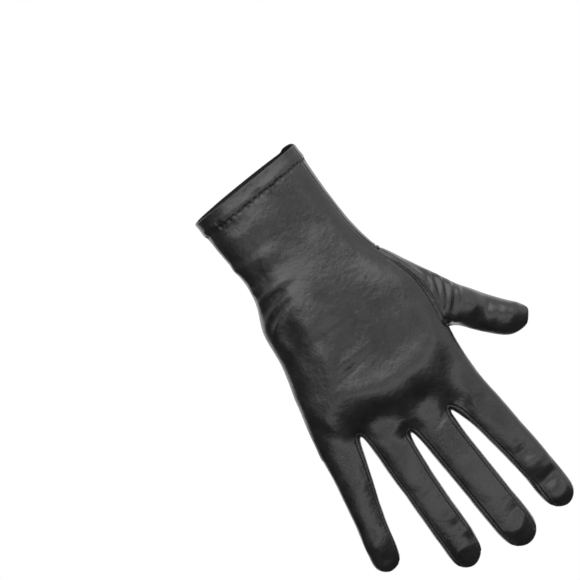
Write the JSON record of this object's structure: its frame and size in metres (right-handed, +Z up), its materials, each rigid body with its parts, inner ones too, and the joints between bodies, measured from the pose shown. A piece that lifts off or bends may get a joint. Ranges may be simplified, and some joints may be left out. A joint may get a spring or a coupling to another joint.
{
  "type": "wrist length dress glove",
  "caption": "Right-hand dress glove of black satin in its worn form: separate fingers with strips sewn between them, a set-in thumb and a straight cuff that is open and hemmed at the wrist.",
  "frame": {"origin": "centre of the cuff's opening, level with its rim on the back of the hand", "axes": "+Z up out of the cuff, so the fingers hang towards -Z; the back of the hand faces -Y and the thumb is on the +X side"},
  "size_m": [0.1415, 0.044, 0.2292],
  "materials": {
    "satin": "soft satin sheen, fine weave"
  },
  "bodies": {
    "root": {"back_panel": "satin", "palm_panel": "satin", "thumb_panel": "satin", "fourchette_little_ring": "satin", "fourchette_ring_middle": "satin", "fourchette_middle_index": "satin", "cuff_hem": "satin"}
  },
  "joints": []
}
